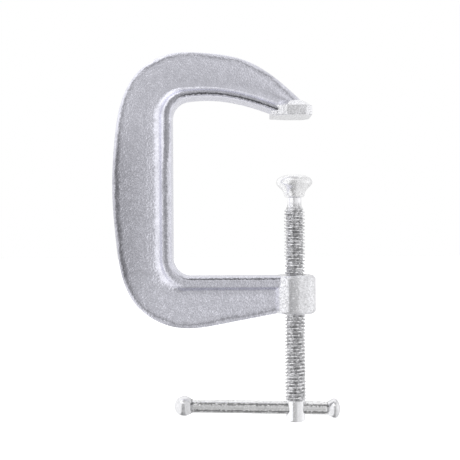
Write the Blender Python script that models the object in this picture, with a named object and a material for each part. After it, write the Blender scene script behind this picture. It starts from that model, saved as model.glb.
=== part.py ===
"""A forged G clamp of the 75 mm size, which opens to 78 mm, +Z up.

The screw's axis is X = 0, Y = 0 and the anvil's face is Z = 0. The frame is a C in the XZ plane
whose spine lies at -X, the screw comes up through the boss at the end of the lower arm, and the
tommy bar lies along X. The clamp is drawn 33.5 mm open.

Sizes below are in millimetres. add_object, turned and the empties turn them into metres.
"""

import math

import bmesh
import bpy
import numpy as np
from mathutils import Matrix

MM = 0.001

# Driving dimensions
PITCH = 2.0
THREAD_R = 6.0
OPENING = 33.5
THROAT = 70.6
SPINE_DEPTH = 34.7
WEB_HALF = 4.0
BEAD_HALF = 9.0
BOSS_R = 12.0
BOSS_TOP = -91.2
BOSS_BOTTOM = -113.2
BORE_ROOM = 0.4
FLANK_ROOM = 0.15
ANVIL_HALF = 10.5
PAD_R = 10.6
PAD_HEIGHT = 12.8
LIP_R = 3.9
BALL_R = 4.6
BALL_DEPTH = 6.9
GROOVE_R = 3.2
NECK_R = 4.05
THREAD_TOP = -52.0
HEAD_R = 5.6
HEAD_TOP = -163.0
HEAD_BOTTOM = -175.7
BAR_R = 3.8
BAR_Z = -168.3
BAR_LEFT = -60.4
BAR_RIGHT = 18.1
BAR_TILT = math.radians(1.2)
HOLE_R = 4.4
SPIGOT_R = 2.2
SPIGOT_LENGTH = 4.0
KNOB_R = 5.8
BALL_KNOB_X = -64.5
CAP_CONE = 3.2
CAP_BAND = 1.0
CAP_DOME = 3.2
GAP = 0.3

# Derived dimensions
ROOT_R = THREAD_R - 0.625 * PITCH
FLANK_SLOPE = math.tan(math.radians(15))
PAD_FACE = -OPENING
BALL_CENTRE = PAD_FACE - BALL_DEPTH
HOLE_Z = BAR_Z + 0.25
INNER = -THROAT
OUTER = INNER - SPINE_DEPTH
SILL = BOSS_TOP - GAP
CORNER = 10.6
HALF_TURN = CORNER * (1 - math.cos(math.pi / 4))

# Facets round the screw's thread, the turned pieces and the boss, and sections per span of the C
THREAD_SIDES = 12
ROUND_SIDES = 24
BOSS_SIDES = 32
STEPS_PER_SPAN = 5

# The C in side view, from the anvil round to the boss. Each row is one section of the forging:
# x, z and heading in degrees of its inner edge, then of its outer edge.
SECTIONS = (
    (-7.0, 0.7, 158, 4.2, 9.3, 136),
    (-31.5, 8.9, 167, -25.0, 31.6, 155),
    (-50.0, 11.3, 180, -50.0, 37.2, 175),
    (INNER + 9.6, 10.6, 187, -64.0, 37.8, 181),
    (INNER + 2.9, 7.4, 228, -89.6, 27.0, 225),
    (INNER, 0.0, 270, OUTER + 2.1, -7.0, 263),
    (INNER, -40.0, 270, OUTER, -40.0, 270),
    (INNER, SILL + CORNER, 270, OUTER + 2.1, -72.0, 276),
    (INNER + HALF_TURN, SILL + HALF_TURN, 315, -90.0, -110.2, 315),
    (INNER + CORNER, SILL, 360, -61.0, -121.8, 361),
    (-32.0, SILL, 360, -33.0, -117.6, 370),
    (-4.0, SILL, 360, -4.0, -112.2, 370),
)

# Half of the forging's cross-section. Bead points: distance in from the inner edge, half depth.
BEAD = (
    (0.0, BEAD_HALF - 2.6),
    (0.9, BEAD_HALF - 0.7),
    (2.8, BEAD_HALF),
    (4.8, BEAD_HALF - 0.1),
    (6.4, BEAD_HALF - 1.4),
    (8.2, WEB_HALF + 1.2),
    (11.2, WEB_HALF),
)
# Outer edge points: distance in from the outer edge, half depth.
RIM = ((4.2, WEB_HALF), (2.0, 0.85 * WEB_HALF), (0.6, 0.5 * WEB_HALF), (0.0, 0.0))

# The anvil seen from above, front half: x, half depth. Then its levels: z, share of that outline.
ANVIL_PLAN = ((-13.8, 7.6), (-4.6, ANVIL_HALF), (6.3, ANVIL_HALF), (9.9, 7.0))
ANVIL_LEVELS = ((0.0, 0.93), (0.9, 1.0), (5.6, 1.0), (9.4, 0.5))

# The pad from the middle of its face, round its rim and skirt, to the lip closed in under the
# ball: radius, height above the face.
PAD_OUTSIDE = (
    (0.0, 0.0),
    (5.8, 0.0),
    (8.4, -1.1),
    (10.0, -2.6),
    (PAD_R, -4.2),
    (PAD_R - 0.4, -5.6),
    (7.6, -8.2),
    (6.2, -10.0),
    (6.0, -PAD_HEIGHT + 1.0),
    (5.2, -PAD_HEIGHT),
    (LIP_R + 0.4, -PAD_HEIGHT),
    (LIP_R, -PAD_HEIGHT + 0.8),
)


def clear_scene():
    for obj in list(bpy.data.objects):
        bpy.data.objects.remove(obj, do_unlink=True)


def finish(name, colour, roughness):
    """A metal finish named after the piece that wears it."""
    material = bpy.data.materials.new(name)
    material.use_nodes = True
    shader = material.node_tree.nodes["Principled BSDF"]
    shader.inputs["Base Color"].default_value = (*colour, 1.0)
    shader.inputs["Roughness"].default_value = roughness
    shader.inputs["Metallic"].default_value = 1.0
    return material


def shell_to_object(name, shell, material):
    """Turns a finished bmesh into a smooth-shaded object with its faces pointing out."""
    bmesh.ops.recalc_face_normals(shell, faces=shell.faces)
    mesh = bpy.data.meshes.new(name)
    shell.to_mesh(mesh)
    shell.free()
    if material:
        mesh.materials.append(material)
    mesh.shade_smooth()
    mesh.set_sharp_from_angle(angle=math.radians(35))
    obj = bpy.data.objects.new(name, mesh)
    bpy.context.scene.collection.objects.link(obj)
    return obj


def add_object(name, points, faces, material=None):
    """An object from points in millimetres and faces as lists of point numbers."""
    shell = bmesh.new()
    corners = [shell.verts.new(tuple(MM * c for c in point)) for point in points]
    for face in faces:
        shell.faces.new([corners[k] for k in face])
    return shell_to_object(name, shell, material)


def turned(name, profile, sides, material=None):
    """A round solid: (radius, height) points from axis to axis, spun about Z."""
    shell = bmesh.new()
    rim = [shell.verts.new((MM * r, 0.0, MM * z)) for r, z in profile]
    edges = [shell.edges.new(pair) for pair in zip(rim, rim[1:])]
    bmesh.ops.spin(
        shell, geom=rim + edges, cent=(0, 0, 0), axis=(0, 0, 1),
        angle=math.tau, steps=sides, use_merge=True,
    )
    bmesh.ops.remove_doubles(shell, verts=shell.verts, dist=0.001 * MM)
    return shell_to_object(name, shell, material)


def arc(centre, radius, start, end, steps):
    """(radius, height) points on a circle centred on the axis, between two angles from the equator."""
    turns = [math.radians(start + (end - start) * k / steps) for k in range(steps + 1)]
    return [(radius * math.cos(a), centre + radius * math.sin(a)) for a in turns]


def helper(obj):
    """Marks a cutter or a blank: it shapes another object and isn't part of the clamp."""
    obj.hide_render = True
    obj.display_type = "WIRE"
    return obj


def boolean(obj, other, operation):
    modifier = obj.modifiers.new(f"{operation.lower()}_{other.name}", "BOOLEAN")
    modifier.operation = operation
    modifier.object = other
    modifier.solver = "EXACT"


def place(obj, parent):
    obj.parent = parent
    return obj


def axis_empty(name, height, tilt=0.0):
    """An empty on the screw's axis, which the pieces of one moving body hang on."""
    empty = bpy.data.objects.new(name, None)
    empty.location = (0.0, 0.0, MM * height)
    empty.rotation_euler = (0.0, tilt, 0.0)
    bpy.context.scene.collection.objects.link(empty)
    return empty


def curve_through(knots):
    """Points and outward normals of a smooth curve through knots of (x, z, heading).

    Each span is a cubic. Its handles have the length that draws a circular arc where the heading
    turns, and a third of the chord where it does not.
    """
    points, normals = [], []
    for (x0, z0, h0), (x1, z1, h1) in zip(knots, knots[1:]):
        start, end = np.array((x0, z0)), np.array((x1, z1))
        turn = math.radians(abs(h1 - h0))
        share = 2 / 3 * math.tan(turn / 4) / math.sin(turn / 2) if turn else 1 / 3
        reach = share * np.linalg.norm(end - start)
        out = reach * np.array((math.cos(math.radians(h0)), math.sin(math.radians(h0))))
        back = reach * np.array((math.cos(math.radians(h1)), math.sin(math.radians(h1))))
        last = (x1, z1, h1) == knots[-1]
        for k in range(STEPS_PER_SPAN + last):
            t = k / STEPS_PER_SPAN
            s = 1 - t
            point = s**3 * start + 3 * s * s * t * (start + out)
            point = point + 3 * s * t * t * (end - back) + t**3 * end
            speed = 3 * s * s * out + 6 * s * t * (end - back - start - out) + 3 * t * t * back
            speed = speed / np.linalg.norm(speed)
            points.append(point)
            normals.append(np.array((speed[1], -speed[0])))
    return np.array(points), np.array(normals)


def lofted_faces(rings, sides):
    """Faces of a closed loft whose rings of points follow each other, with both ends capped."""
    faces = [
        (a * sides + k, a * sides + (k + 1) % sides,
         (a + 1) * sides + (k + 1) % sides, (a + 1) * sides + k)
        for a in range(rings - 1)
        for k in range(sides)
    ]
    faces.append(tuple(range(sides)))
    faces.append(tuple((rings - 1) * sides + k for k in range(sides)))
    return faces


def forging():
    """The frame's C: a web with a rounded bead along its inner edge, lofted section by section."""
    inner, inner_out = curve_through([row[:3] for row in SECTIONS])
    outer, outer_out = curve_through([row[3:] for row in SECTIONS])
    depth = np.linalg.norm(outer - inner, axis=1)
    squeeze = np.minimum(1.0, depth / (BEAD[-1][0] + RIM[0][0] + 1.0))
    rings = []
    for at_inner, n_inner, at_outer, n_outer, fit in zip(
        inner, inner_out, outer, outer_out, squeeze
    ):
        near = [(*(at_inner + fit * d * n_inner), half) for d, half in BEAD]
        far = [(*(at_outer - fit * d * n_outer), half) for d, half in RIM]
        half_ring = near + far
        other_side = [(x, z, -half) for x, z, half in reversed(half_ring[:-1])]
        rings.append(half_ring + other_side)
    points = [(x, y, z) for ring in rings for x, z, y in ring]
    return points, lofted_faces(len(rings), len(rings[0]))


def anvil_blank():
    """The anvil: an eight-sided block with a chamfered face and a sloping top."""
    front = list(ANVIL_PLAN)
    outline = front + [(x, -y) for x, y in reversed(front)]
    middle = sum(x for x, _ in outline) / len(outline)
    points = [
        (middle + share * (x - middle), share * y, z)
        for z, share in ANVIL_LEVELS
        for x, y in outline
    ]
    faces = lofted_faces(len(ANVIL_LEVELS), len(outline))
    return helper(add_object("anvil_blank", points, faces))


def boss_blank():
    chamfer = 1.3
    profile = (
        (0.0, BOSS_TOP),
        (BOSS_R - chamfer, BOSS_TOP),
        (BOSS_R, BOSS_TOP - chamfer),
        (BOSS_R, BOSS_BOTTOM + chamfer),
        (BOSS_R - chamfer, BOSS_BOTTOM),
        (0.0, BOSS_BOTTOM),
    )
    return helper(turned("boss_blank", profile, BOSS_SIDES))


def threaded_rod(name, low_turn, turns, grow, flank_room, limit, material=None):
    """A rod with a right-hand trapezoidal thread, from a whole number of pitches below Z = 0.

    The flanks stand where z = pitch * angle / turn, so every rod made here is in step with every
    other. grow widens the radii, flank_room widens the thread, and limit(z) caps the radius, which
    gives the ends their run-out.
    """
    middle_r = (THREAD_R + ROOT_R) / 2
    crest, root = THREAD_R + grow, ROOT_R + grow

    def half_width(radius):
        return PITCH / 4 + flank_room - (radius - middle_r) * FLANK_SLOPE

    strip = (
        (root, -half_width(root)),
        (crest, -half_width(crest)),
        (crest, half_width(crest)),
        (root, half_width(root)),
    )
    across = len(strip)
    count = turns * THREAD_SIDES
    points = []
    for i in range(count + 1):
        angle = math.tau * i / THREAD_SIDES
        for radius, rise in strip:
            z = (low_turn + i / THREAD_SIDES) * PITCH + rise
            r = min(radius, limit(z))
            points.append((r * math.cos(angle), r * math.sin(angle), z))

    def at(i, j):
        return i * across + j

    faces = []
    for i in range(count):
        for j in range(across - 1):
            faces.append((at(i, j), at(i + 1, j), at(i + 1, j + 1), at(i, j + 1)))
    for i in range(count - THREAD_SIDES):
        above = i + THREAD_SIDES
        faces.append((at(i, across - 1), at(i + 1, across - 1), at(above + 1, 0), at(above, 0)))
    foot = [at(i, 0) for i in range(THREAD_SIDES + 1)] + [at(0, j) for j in (3, 2, 1)]
    first = count - THREAD_SIDES
    top = [at(i, across - 1) for i in range(first, count + 1)] + [at(count, j) for j in (2, 1, 0)]
    for loop, height in ((foot, low_turn + 0.5), (top, low_turn + turns - 0.5)):
        middle = len(points)
        points.append((0.0, 0.0, height * PITCH))
        faces += [(middle, a, b) for a, b in zip(loop, loop[1:] + loop[:1])]
    return add_object(name, points, faces, material)


def bore_cutter():
    """The tapped hole: the screw's own thread with running room all round."""
    low_turn = math.floor(BOSS_BOTTOM / PITCH) - 2
    turns = math.ceil(BOSS_TOP / PITCH) + 2 - low_turn
    cutter = threaded_rod(
        "bore_cutter", low_turn, turns, BORE_ROOM, FLANK_ROOM, limit=lambda z: math.inf
    )
    return helper(cutter)


def make_frame():
    points, faces = forging()
    frame = add_object("frame", points, faces, finish("forged_zinc", (0.62, 0.63, 0.66), 0.45))
    boolean(frame, anvil_blank(), "UNION")
    boolean(frame, boss_blank(), "UNION")
    boolean(frame, bore_cutter(), "DIFFERENCE")
    return frame


def screw_limit(z):
    """The screw blank's radius near its ends: a lead-in at the neck and a run-out at the head."""
    start_r = NECK_R + 0.35
    lead_in_slope, run_out_slope = 0.65, 1.6
    lead_in = start_r + (THREAD_TOP - z) * lead_in_slope
    run_out = start_r + (z - HEAD_TOP + 0.8) * run_out_slope
    return max(NECK_R + 0.15, min(lead_in, run_out))


def neck_blank():
    """The ball that the pad swivels on, and the plain neck below it."""
    groove_angle = -math.degrees(math.acos(GROOVE_R / BALL_R))
    groove_low = PAD_FACE - PAD_HEIGHT + 0.4
    profile = arc(BALL_CENTRE, BALL_R, 90, groove_angle, 9)
    profile[0] = (0.0, BALL_CENTRE + BALL_R)
    profile += [
        (GROOVE_R, groove_low),
        (NECK_R, groove_low - 1.2),
        (NECK_R, THREAD_TOP - 4.0),
        (0.0, THREAD_TOP - 4.0),
    ]
    return helper(turned("neck_blank", profile, ROUND_SIDES))


def head_blank():
    """The head, with a core that reaches up inside the thread and joins it."""
    chamfer = 0.9
    core_r = ROOT_R - 0.5
    profile = (
        (0.0, HEAD_TOP + 2.0),
        (core_r, HEAD_TOP + 2.0),
        (core_r, HEAD_TOP + 0.6),
        (HEAD_R, HEAD_TOP - 0.4),
        (HEAD_R, HEAD_BOTTOM + chamfer),
        (HEAD_R - chamfer, HEAD_BOTTOM),
        (0.0, HEAD_BOTTOM),
    )
    return helper(turned("head_blank", profile, ROUND_SIDES))


def cross_hole_cutter():
    """The tommy bar's hole, drilled along X and countersunk at both mouths."""
    mouth = 4.9
    end = 9.0
    profile = (
        (0.0, end),
        (HOLE_R + end - mouth, end),
        (HOLE_R, mouth),
        (HOLE_R, -mouth),
        (HOLE_R + end - mouth, -end),
        (0.0, -end),
    )
    cutter = turned("cross_hole_cutter", profile, ROUND_SIDES)
    cutter.rotation_euler = (0.0, math.pi / 2, 0.0)
    cutter.location = (0.0, 0.0, MM * HOLE_Z)
    return helper(cutter)


def make_screw():
    low_turn = math.floor(HEAD_TOP / PITCH)
    turns = math.ceil(THREAD_TOP / PITCH) - low_turn
    steel = finish("rolled_thread", (0.55, 0.56, 0.58), 0.35)
    screw = threaded_rod("screw", low_turn, turns, 0.0, 0.0, screw_limit, steel)
    boolean(screw, neck_blank(), "UNION")
    boolean(screw, head_blank(), "UNION")
    boolean(screw, cross_hole_cutter(), "DIFFERENCE")
    return screw


def make_pad(parent):
    """The swivel pad: a disc on a skirt that is closed in below the screw's ball."""
    centre = BALL_CENTRE - PAD_FACE
    socket_r = BALL_R + GAP
    lip_angle = -math.degrees(math.acos(LIP_R / socket_r))
    profile = list(PAD_OUTSIDE) + arc(centre, socket_r, lip_angle, 90, 9)
    profile[-1] = (0.0, centre + socket_r)
    pad = turned("swivel_pad", profile, ROUND_SIDES, finish("turned_pad", (0.75, 0.76, 0.78), 0.3))
    return place(pad, parent)


def along_x(name, profile, material):
    """A round solid along X: (distance along X, radius) points."""
    obj = turned(name, [(r, x) for x, r in profile], ROUND_SIDES, material)
    obj.data.transform(Matrix.Rotation(math.pi / 2, 4, "Y"))
    return obj


def make_bar(parent):
    chamfer = 0.4
    left_end = BAR_LEFT - SPIGOT_LENGTH
    right_end = BAR_RIGHT + SPIGOT_LENGTH
    profile = (
        (left_end, 0.0),
        (left_end, SPIGOT_R),
        (BAR_LEFT, SPIGOT_R),
        (BAR_LEFT, BAR_R - chamfer),
        (BAR_LEFT + chamfer, BAR_R),
        (BAR_RIGHT - chamfer, BAR_R),
        (BAR_RIGHT, BAR_R - chamfer),
        (BAR_RIGHT, SPIGOT_R),
        (right_end, SPIGOT_R),
        (right_end, 0.0),
    )
    return place(along_x("tommy_bar", profile, finish("bright_bar", (0.5, 0.5, 0.52), 0.3)), parent)


def knob_bore(shoulder, outwards):
    """The knob's blind bore over the bar's spigot, from its bottom to its mouth."""
    bottom = shoulder + outwards * (SPIGOT_LENGTH + 0.1)
    return [(bottom, 0.0), (bottom, SPIGOT_R + GAP), (shoulder, SPIGOT_R + GAP)]


def make_left_knob(parent):
    """A ball pressed on the long end of the bar."""
    shoulder = BAR_LEFT - GAP
    centre = BALL_KNOB_X
    open_angle = math.acos((shoulder - centre) / KNOB_R)
    profile = knob_bore(shoulder, -1)
    steps = 10
    for k in range(steps + 1):
        angle = open_angle + (math.pi - open_angle) * k / steps
        profile.append((centre + KNOB_R * math.cos(angle), KNOB_R * math.sin(angle)))
    profile[-1] = (centre - KNOB_R, 0.0)
    steel = finish("left_knob_steel", (0.7, 0.7, 0.72), 0.25)
    return place(along_x("bar_knob_left", profile, steel), parent)


def make_right_knob(parent):
    """A coned and domed cap pressed on the short end of the bar."""
    shoulder = BAR_RIGHT + GAP
    cone_end = shoulder + CAP_CONE
    dome_start = cone_end + CAP_BAND
    profile = knob_bore(shoulder, 1)
    profile += [(shoulder, BAR_R), (cone_end, KNOB_R - 0.2)]
    steps = 6
    for k in range(steps + 1):
        angle = math.pi / 2 * k / steps
        along = dome_start + CAP_DOME * math.sin(angle)
        profile.append((along, (KNOB_R - 0.1) * math.cos(angle)))
    profile[-1] = (dome_start + CAP_DOME, 0.0)
    steel = finish("right_knob_steel", (0.7, 0.7, 0.72), 0.25)
    return place(along_x("bar_knob_right", profile, steel), parent)


clear_scene()
make_frame()
make_screw()
make_pad(axis_empty("pad_axis", PAD_FACE))
bar_axis = axis_empty("bar_axis", BAR_Z, BAR_TILT)
make_bar(bar_axis)
make_left_knob(bar_axis)
make_right_knob(bar_axis)
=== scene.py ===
# %% [markdown]
# # A forged G clamp
# A G clamp is a steel C that is drop-forged in one piece, with a screw through its lower jaw.
# The plan of this lesson follows the way it is made. First comes the forging, then the screw
# that is rolled from bar, the pad that is turned and closed over the screw's ball, and the
# sliding tommy bar with its knobs. Every shape is a surface worked out with numpy, and the
# zinc plating is a set of node materials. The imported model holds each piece's place and size.

# %% Load the frame
import math

import bpy
import numpy as np
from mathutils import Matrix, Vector


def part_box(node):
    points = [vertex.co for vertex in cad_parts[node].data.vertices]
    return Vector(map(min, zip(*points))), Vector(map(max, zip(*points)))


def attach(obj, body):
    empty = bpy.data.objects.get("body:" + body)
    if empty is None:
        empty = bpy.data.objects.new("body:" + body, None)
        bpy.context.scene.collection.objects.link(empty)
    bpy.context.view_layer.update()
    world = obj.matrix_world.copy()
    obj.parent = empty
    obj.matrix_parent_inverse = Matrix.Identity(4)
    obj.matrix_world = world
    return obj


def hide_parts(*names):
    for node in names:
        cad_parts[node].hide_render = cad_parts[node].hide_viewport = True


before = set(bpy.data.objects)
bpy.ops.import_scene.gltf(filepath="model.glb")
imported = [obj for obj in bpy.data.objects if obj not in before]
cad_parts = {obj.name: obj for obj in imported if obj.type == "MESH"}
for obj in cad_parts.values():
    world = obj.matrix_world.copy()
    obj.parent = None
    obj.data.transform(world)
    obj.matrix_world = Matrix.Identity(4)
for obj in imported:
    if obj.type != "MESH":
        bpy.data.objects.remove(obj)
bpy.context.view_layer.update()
MM = 0.001

# %% [markdown]
# ## Reading sizes from the frame
# The frame knows how far each node reaches, so most sizes are read from its boxes and not typed
# again. A box is turned into millimetres here, because a small tool is easier to think about in
# millimetres. The anvil's face is at Z = 0 and the screw's axis is X = 0, Y = 0.

# %% Sizes in millimetres
def box_mm(node):
    """Lowest and highest corner of a node, in millimetres."""
    low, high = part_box(node)
    return np.array(low) / MM, np.array(high) / MM


frame_low, frame_high = box_mm("frame")
screw_low, screw_high = box_mm("screw")
pad_low, pad_high = box_mm("swivel_pad")
PITCH = 2.0
THREAD_DEPTH = 0.625 * PITCH
THREAD_R = screw_high[0]
ROOT_R = THREAD_R - THREAD_DEPTH
BOSS_R = frame_high[0]
BOSS_TOP = -91.2
BOSS_HEIGHT = 22.0
BOSS_BOTTOM = BOSS_TOP - BOSS_HEIGHT
SPINE_WIDTH = 34.7
OUTER = frame_low[0]
INNER = OUTER + SPINE_WIDTH
SILL = BOSS_TOP - 0.3
CORNER = 10.6
print("frame", frame_low.round(1), frame_high.round(1), "thread radius", round(THREAD_R, 2))

# %% [markdown]
# ## Skins from rings of points
# A surface here is always a grid. Each row is a ring of points that closes on itself, and the
# rings follow each other along a path, an axis or a helix. `closed_skin` joins neighbouring rings
# with quads and closes both ends with a fan of triangles round a middle point. Whole index
# arrays are shifted against each other, so there is no loop over vertices. The volume that the
# faces enclose tells which way they point: if it comes out negative, every face is turned round.

# %% Skins
def add_mesh(name, points, quads, triangles):
    """An object from points in millimetres and two arrays of corner numbers, with faces out."""
    spare = np.concatenate([triangles, quads[:, :3], quads[:, [0, 2, 3]]])
    volume = np.linalg.det(points[spare]).sum()
    if volume < 0:
        quads, triangles = quads[:, ::-1], triangles[:, ::-1]
    mesh = bpy.data.meshes.new(name)
    mesh.from_pydata((points * MM).tolist(), [], quads.tolist() + triangles.tolist())
    mesh.shade_smooth()
    obj = bpy.data.objects.new(name, mesh)
    bpy.context.scene.collection.objects.link(obj)
    return obj


def fan(loop, middle):
    """Triangles from one middle point to each side of a closed loop of corner numbers."""
    return np.stack([np.full(len(loop), middle), loop, np.roll(loop, -1)], axis=1)


def closed_skin(name, rings):
    """A closed skin over an array of rings, shaped (rings, around, 3)."""
    count, around = rings.shape[:2]
    index = np.arange(count * around).reshape(count, around)
    beside = np.roll(index, -1, axis=1)
    quads = np.stack([index[:-1], beside[:-1], beside[1:], index[1:]], axis=-1).reshape(-1, 4)
    middles = np.stack([rings[0].mean(axis=0), rings[-1].mean(axis=0)])
    points = np.concatenate([rings.reshape(-1, 3), middles])
    ends = np.concatenate([fan(index[0][::-1], count * around), fan(index[-1], count * around + 1)])
    return add_mesh(name, points, quads, ends)


def turned(name, profile, around=96, axis="Z"):
    """A turned solid: (radius, height) points spun about Z, or about X with axis="X"."""
    radius, height = profile[:, 0][:, None], profile[:, 1][:, None]
    angle = np.linspace(0, 2 * np.pi, around, endpoint=False)[None]
    round_1, round_2 = radius * np.cos(angle), radius * np.sin(angle)
    along = np.broadcast_to(height, round_1.shape)
    order = (round_1, round_2, along) if axis == "Z" else (along, round_2, round_1)
    return closed_skin(name, np.stack(order, axis=-1))


def get_points(obj):
    """An object's points in millimetres, one row each."""
    points = np.empty(len(obj.data.vertices) * 3)
    obj.data.vertices.foreach_get("co", points)
    return points.reshape(-1, 3) / MM


def set_points(obj, points):
    """Moves an object's points to new places in millimetres."""
    obj.data.vertices.foreach_set("co", (points * MM).ravel())
    obj.data.update()
    return obj


def squared(obj, power):
    """Fattens a round piece towards a rounded square: |x|^power + |y|^power = radius^power."""
    points = get_points(obj)
    angle = np.arctan2(points[:, 1], points[:, 0])
    fuller = (np.abs(np.cos(angle)) ** power + np.abs(np.sin(angle)) ** power) ** (-1 / power)
    points[:, :2] *= fuller[:, None]
    return set_points(obj, points)

# %% [markdown]
# ## Outlines
# A drawn outline only needs its corners. `rounded` swaps each corner for a short curve, as a
# cutter or a die would leave it, `spaced` adds points where a side is long, and `resampled` gives
# two different outlines the same number of points, so that one can be blended into the other.

# %% Outlines
SAME_PLACE = 1e-4


def rounded(corners, radius, steps=6):
    """A polyline with every inner corner replaced by a curve.

    Each curve starts and ends `radius` away from its corner, or half a side away on a short side,
    and is the parabola that touches both sides: (1-t)^2 a + 2t(1-t) corner + t^2 b. `radius` is one
    number, or one for each inner corner.
    """
    corners = np.array(corners, float)
    radius = np.broadcast_to(radius, len(corners) - 2)[:, None]
    before, corner, after = corners[:-2], corners[1:-1], corners[2:]
    to_before, to_after = before - corner, after - corner
    length_before = np.linalg.norm(to_before, axis=1, keepdims=True)
    length_after = np.linalg.norm(to_after, axis=1, keepdims=True)
    start = corner + to_before * np.minimum(0.5, radius / length_before)
    end = corner + to_after * np.minimum(0.5, radius / length_after)
    t = np.linspace(0, 1, steps)[None, :, None]
    curve = (1 - t) ** 2 * start[:, None] + 2 * t * (1 - t) * corner[:, None] + t**2 * end[:, None]
    return np.concatenate([corners[:1], curve.reshape(-1, 2), corners[-1:]])


def spaced(line, step):
    """The same polyline with extra points, so that no two are further apart than `step`."""
    side = np.linalg.norm(np.diff(line, axis=0), axis=1)
    real = side > SAME_PLACE
    line = line[np.concatenate([[True], real])]
    side = side[real]
    pieces = np.ceil(side / step).astype(int)
    place = np.repeat(np.arange(len(side)), pieces)
    within = np.arange(pieces.sum()) - np.repeat(np.cumsum(pieces) - pieces, pieces)
    wanted = np.append(place + within / pieces[place], len(side))
    return np.stack([np.interp(wanted, np.arange(len(line)), line[:, k]) for k in range(2)], axis=1)


def resampled(line, count):
    """A polyline read at `count` points that are evenly spaced along it."""
    side = np.linalg.norm(np.diff(line, axis=0), axis=1)
    length = np.concatenate([[0], np.cumsum(side)])
    wanted = np.linspace(0, length[-1], count)
    return np.stack([np.interp(wanted, length, line[:, k]) for k in range(2)], axis=1)

# %% [markdown]
# ## Modifiers and handing over
# Modifiers are handy for cutting and melting shapes together, but a finished piece is plain mesh.
# `finished_copy` keeps their result and drops them. Every finished piece is then put on the
# moving body it rides on, the imported node it stands in for is hidden, and it gets its material.

# %% Modifiers and handing over
def finished_copy(obj):
    """Replaces an object's mesh by the one its modifiers make, and drops the modifiers."""
    graph = bpy.context.evaluated_depsgraph_get()
    mesh = bpy.data.meshes.new_from_object(obj.evaluated_get(graph))
    obj.modifiers.clear()
    obj.data = mesh
    mesh.name = obj.name
    return obj


def combine(obj, other, operation):
    """A Boolean with another object, which is used up."""
    modifier = obj.modifiers.new(operation, "BOOLEAN")
    modifier.operation = operation
    modifier.object = other
    modifier.solver = "EXACT"
    finished_copy(obj)
    bpy.data.objects.remove(other)
    return obj


def hand_over(obj, body, node, material):
    """Makes a piece ride on its body, hides the node it stands in for, and gives it its material."""
    obj.data.materials.clear()
    obj.data.materials.append(material)
    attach(obj, body)
    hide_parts(node)
    low, high = np.array(obj.bound_box).min(axis=0), np.array(obj.bound_box).max(axis=0)
    faces = len(obj.data.polygons)
    print(obj.name, "faces", faces, "mm", (low / MM).round(1), (high / MM).round(1))

# %% [markdown]
# ## The camera
# The clamp is looked at square on from about 40 cm, level with its middle, so the underside of
# the upper jaw and the top of the lower one both just show. The lens follows from how wide a
# strip has to fit into the picture at that distance.

# %% Camera
VIEW_DISTANCE = 400.0
VIEW_X = -37.4
VIEW_Z = -65.0
WIDTH_AT_CLAMP = 266.8
ROLL = math.radians(0.35)


def make_camera():
    """The camera in front of the clamp, rolled by a third of a degree."""
    data = bpy.data.cameras.new("camera")
    data.sensor_width = 36.0
    data.lens = data.sensor_width * VIEW_DISTANCE / WIDTH_AT_CLAMP
    data.clip_start = 0.01
    camera = bpy.data.objects.new("camera", data)
    camera.location = (VIEW_X * MM, -VIEW_DISTANCE * MM, VIEW_Z * MM)
    camera.rotation_euler = (math.pi / 2, ROLL, 0.0)
    bpy.context.scene.collection.objects.link(camera)
    bpy.context.scene.camera = camera
    print("lens", round(data.lens, 1), "mm at", VIEW_DISTANCE, "mm")


make_camera()

# %% [markdown]
# ## A small language for node trees
# A shader is a graph, and writing it node by node takes many lines. `put` adds one node, sets
# its properties and fills or links its inputs in one call, so a recipe reads like a formula.

# %% Node trees
def new_tree(material_name):
    """A new material, its node tree and its Principled shader."""
    material = bpy.data.materials.new(material_name)
    material.use_nodes = True
    return material, material.node_tree, material.node_tree.nodes["Principled BSDF"]


def put(tree, kind, settings=None, **inputs):
    """Adds a node, sets its properties and fills its inputs.

    An input is named with underscores for spaces, or numbered after an underscore, and takes a
    value or another node's output.
    """
    made = tree.nodes.new(kind)
    for key, value in (settings or {}).items():
        setattr(made, key, value)
    for key, value in inputs.items():
        numbered = key[1:].isdigit()
        socket = made.inputs[int(key[1:]) if numbered else key.replace("_", " ")]
        if isinstance(value, bpy.types.NodeSocket):
            tree.links.new(value, socket)
        else:
            socket.default_value = value
    return made


def calculate(tree, operation, a, b=0.0, c=0.0):
    """One step of arithmetic; b and c are for the operations that take them."""
    return put(tree, "ShaderNodeMath", {"operation": operation}, _0=a, _1=b, _2=c).outputs[0]


def ramp(tree, factor, *stops):
    """A colour ramp through (position, grey or colour) stops."""
    made = put(tree, "ShaderNodeValToRGB", Fac=factor)
    line = made.color_ramp
    while len(line.elements) < len(stops):
        line.elements.new(0.5)
    for element, (position, colour) in zip(line.elements, stops):
        element.position = position
        grey = isinstance(colour, float)
        element.color = (colour, colour, colour, 1.0) if grey else (*colour, 1.0)
    return made.outputs["Color"]

# %% [markdown]
# ## The tent
# Bright metal is mostly a picture of what surrounds it. For a catalogue it stands in a white tent
# with a gap where the camera looks in, and that gap draws the dark bands along every rounded
# edge. The world shader below is that tent, drawn with ramps of direction: white walls,
# brighter on the left, a grey gap ahead that is hazier above the horizon, and a dark seam high
# up in front. The camera itself sees plain white behind the clamp.

# %% World
def along(tree, parts, x, y, z):
    """How far a direction points along (x, y, z): the dot product, from -1 to 1."""
    across = calculate(tree, "MULTIPLY", parts.outputs["X"], x)
    deep = calculate(tree, "MULTIPLY_ADD", parts.outputs["Y"], y, across)
    return calculate(tree, "MULTIPLY_ADD", parts.outputs["Z"], z, deep)


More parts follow.
